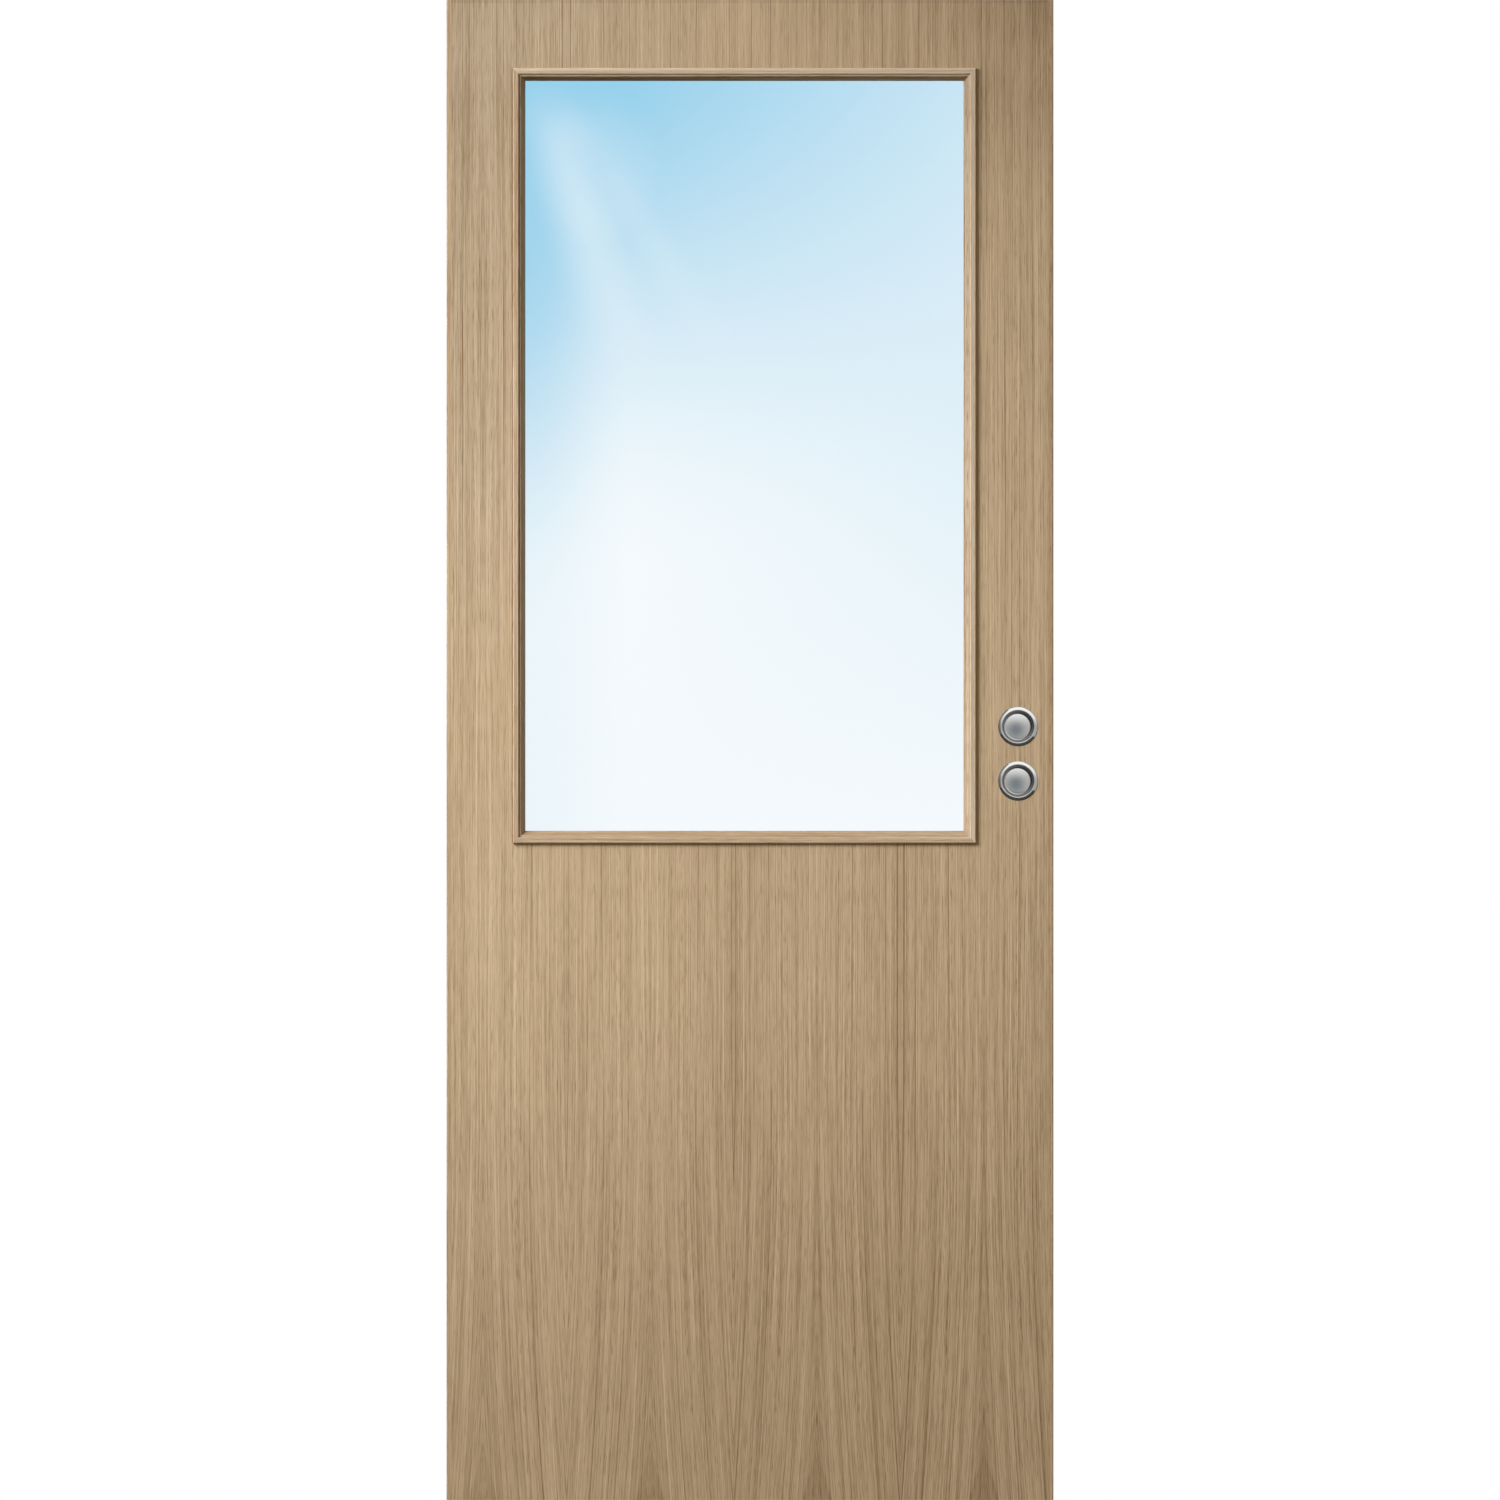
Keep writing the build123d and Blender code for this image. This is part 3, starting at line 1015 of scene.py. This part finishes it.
@dataclass
class Pulls:
    """The flush pulls on both faces."""

    def build(self) -> None:
        """Turns and dresses the four pulls."""
        for place in ("upper", "lower"):
            low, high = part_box(f"front_pull_{place}")
            sizes = FlushPull(f"front_pull_{place}")
            steel = TurnedSteel(
                f"TurnedSteel_{place}", (low.x + high.x) / 2, (low.z + high.z) / 2,
                sizes.floor_radius, sizes.mouth_radius, sizes.rim_radius,
            ).make()
            for face in ("front", "back"):
                FlushPull(f"{face}_pull_{place}").build(steel)


@dataclass
class Studio:
    """A pale floor, soft light and a long lens square to the leaf."""

    lens: float = 1000.0
    sensor: float = 36.0
    overfill: float = 1.0004
    floor_gap: float = 14.0 * MM
    floor_radius: float = 3.0

    def build(self) -> None:
        """Sets the studio up."""
        self.light_world()
        self.lay_floor()
        self.hang_lamps()
        self.hang_cards("FrontCards", -1.0)
        self.hang_cards("BackCards", 1.0)
        self.set_camera()
        bpy.context.scene.view_settings.view_transform = "Standard"

    def light_world(self) -> None:
        """White all round for what is seen, and a low even light for the rest."""
        world = bpy.data.worlds.new("StudioWorld")
        bpy.context.scene.world = world
        world.use_nodes = True
        world.node_tree.nodes.clear()
        bench = ShaderBench(world.node_tree)
        path = bench.add("ShaderNodeLightPath")
        seen = bench.total(
            path.outputs["Is Camera Ray"], path.outputs["Is Glossy Ray"], path.outputs["Is Transmission Ray"]
        )
        strength = bench.blend_range(seen, 0.0, 1.0, 0.24, 1.0)
        back = bench.add("ShaderNodeBackground")
        bench.feed(back.inputs["Color"], bench.mix(seen, (1.0, 0.79, 0.47, 1.0), (1.0, 1.0, 1.0, 1.0)))
        bench.feed(back.inputs["Strength"], strength)
        output = bench.add("ShaderNodeOutputWorld")
        bench.feed(output.inputs["Surface"], back.outputs[0])

    def lay_floor(self) -> None:
        """A pale floor just under the leaf that fades into the white."""
        level = CAD_BOX[0].z - self.floor_gap
        bpy.ops.object.select_all(action="DESELECT")
        bpy.ops.mesh.primitive_circle_add(vertices=64, radius=self.floor_radius, fill_type="NGON", location=(0.0, 0.0, level))
        floor = bpy.context.object
        floor.name = "StudioFloor"
        bpy.ops.object.transform_apply(location=True, rotation=True, scale=True)
        material = bpy.data.materials.new("PaleFloor")
        material.use_nodes = True
        material.node_tree.nodes.clear()
        bench = ShaderBench(material.node_tree)
        x, y, _ = bench.place()
        reach = bench.math("SQRT", bench.total(bench.math("POWER", x, 2.0), bench.math("POWER", y, 2.0)))
        pale = bench.add("ShaderNodeBsdfDiffuse")
        bench.feed(pale.inputs["Color"], paint(246, 246, 245))
        clear = bench.add("ShaderNodeBsdfTransparent")
        fade = bench.add("ShaderNodeMixShader")
        path = bench.add("ShaderNodeLightPath")
        far = bench.blend_range(reach, 0.35, 1.0, 0.0, 1.0)
        side = bench.add("ShaderNodeNewGeometry")
        unseen = bench.math("MAXIMUM", path.outputs["Is Diffuse Ray"], side.outputs["Backfacing"])
        bench.feed(fade.inputs[0], bench.math("MAXIMUM", far, unseen))
        bench.feed(fade.inputs[1], pale.outputs[0])
        bench.feed(fade.inputs[2], clear.outputs[0])
        output = bench.add("ShaderNodeOutputMaterial")
        bench.feed(output.inputs["Surface"], fade.outputs[0])
        floor.data.materials.append(material)
        floor.visible_glossy = False

    def hang_lamps(self) -> None:
        """A large soft lamp from the upper left in front, and one like it behind."""
        self.hang("KeyLamp", Vector((-2.45, -2.0, 0.85)), Vector((0.03, 0.0, -1.33)), 2.0, 31.0, 60.0)
        self.hang("BackLamp", Vector((2.4, 2.6, 1.2)), Vector((0.0, 0.0, -0.9)), 2.4, 80.0, 120.0)

    def hang(self, name: str, place: Vector, aim: Vector, size: float, power: float, spread: float) -> None:
        """Hangs a square soft lamp.

        Args:
            name: The lamp's name.
            place: Where it hangs.
            aim: The point that it faces.
            size: The length of its sides in metres.
            power: Its power in watts.
            spread: The angle of its beam in degrees.
        """
        light = bpy.data.lights.new(name, "AREA")
        light.shape = "SQUARE"
        light.size = size
        light.energy = power
        light.color = (0.97, 0.99, 1.0)
        light.spread = math.radians(spread)
        lamp = bpy.data.objects.new(name, light)
        bpy.context.scene.collection.objects.link(lamp)
        lamp.location = place
        lamp.rotation_euler = (aim - place).to_track_quat("-Z", "Y").to_euler()
        lamp.visible_camera = False
        lamp.visible_transmission = False
        lamp.visible_glossy = False

    def hang_cards(self, name: str, side: float) -> None:
        """Hangs dark cards that only gloss shows: below, to both sides and far before a face, open at the top.

        Args:
            name: The cards' name.
            side: -1 before the front face, 1 before the back.
        """
        level = CAD_BOX[0].z
        bpy.ops.object.select_all(action="DESELECT")
        bpy.ops.mesh.primitive_cube_add(size=1.0, location=(0.0, side * 1.3, level + 2.45))
        cards = bpy.context.object
        cards.name = name
        cards.scale = (3.8, 2.4, 4.86)
        bpy.ops.object.transform_apply(location=True, rotation=True, scale=True)
        bpy.ops.object.mode_set(mode="EDIT")
        bpy.ops.mesh.select_all(action="DESELECT")
        bpy.ops.object.mode_set(mode="OBJECT")
        for face in cards.data.polygons:
            face.select = face.normal.z > 0.5 or face.normal.y * side < -0.5
        bpy.ops.object.mode_set(mode="EDIT")
        bpy.ops.mesh.delete(type="FACE")
        bpy.ops.object.mode_set(mode="OBJECT")
        material = bpy.data.materials.new(name)
        material.use_nodes = True
        material.node_tree.nodes.clear()
        bench = ShaderBench(material.node_tree)
        x, _, z = bench.place()
        glow = bench.add("ShaderNodeEmission")
        bench.feed(glow.inputs["Color"], (0.96, 0.985, 1.0, 1.0))
        wall = bench.blend_range(z, level + 1.0, level + 2.1, 0.42, 0.95)
        floor = bench.blend_range(z, level + 0.03, level + 0.1, 0.14, 1.0)
        flank = bench.scaled(bench.blend_range(x, -1.9, -1.2, 0.34, 1.0), bench.blend_range(x, 1.2, 1.9, 1.0, 0.9))
        bench.feed(glow.inputs["Strength"], bench.scaled(bench.scaled(wall, floor), flank))
        output = bench.add("ShaderNodeOutputMaterial")
        bench.feed(output.inputs["Surface"], glow.outputs[0])
        cards.data.materials.append(material)
        cards.visible_camera = False
        cards.visible_diffuse = False
        cards.visible_transmission = False
        cards.visible_shadow = False

    def set_camera(self) -> None:
        """Sets the camera so that the leaf's front just overfills the frame's height."""
        low, high = CAD_BOX
        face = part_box("front_face_panel")[0].y
        data = bpy.data.cameras.new("Camera")
        data.lens = self.lens
        data.sensor_width = self.sensor
        data.clip_end = 200.0
        camera = bpy.data.objects.new("Camera", data)
        bpy.context.scene.collection.objects.link(camera)
        away = (high.z - low.z) * self.lens / self.sensor / self.overfill
        camera.location = ((low.x + high.x) / 2, face - away, (low.z + high.z) / 2)
        camera.rotation_euler = (math.pi / 2, 0.0, 0.0)
        bpy.context.scene.camera = camera


def main() -> None:
    """Builds and dresses the leaf, then the studio round it."""
    logging.basicConfig(level=logging.INFO, format="%(name)s: %(message)s")
    Leaf().dress()
    Window().dress()
    Pulls().build()
    Studio().build()


if __name__ == "__main__":
    main()
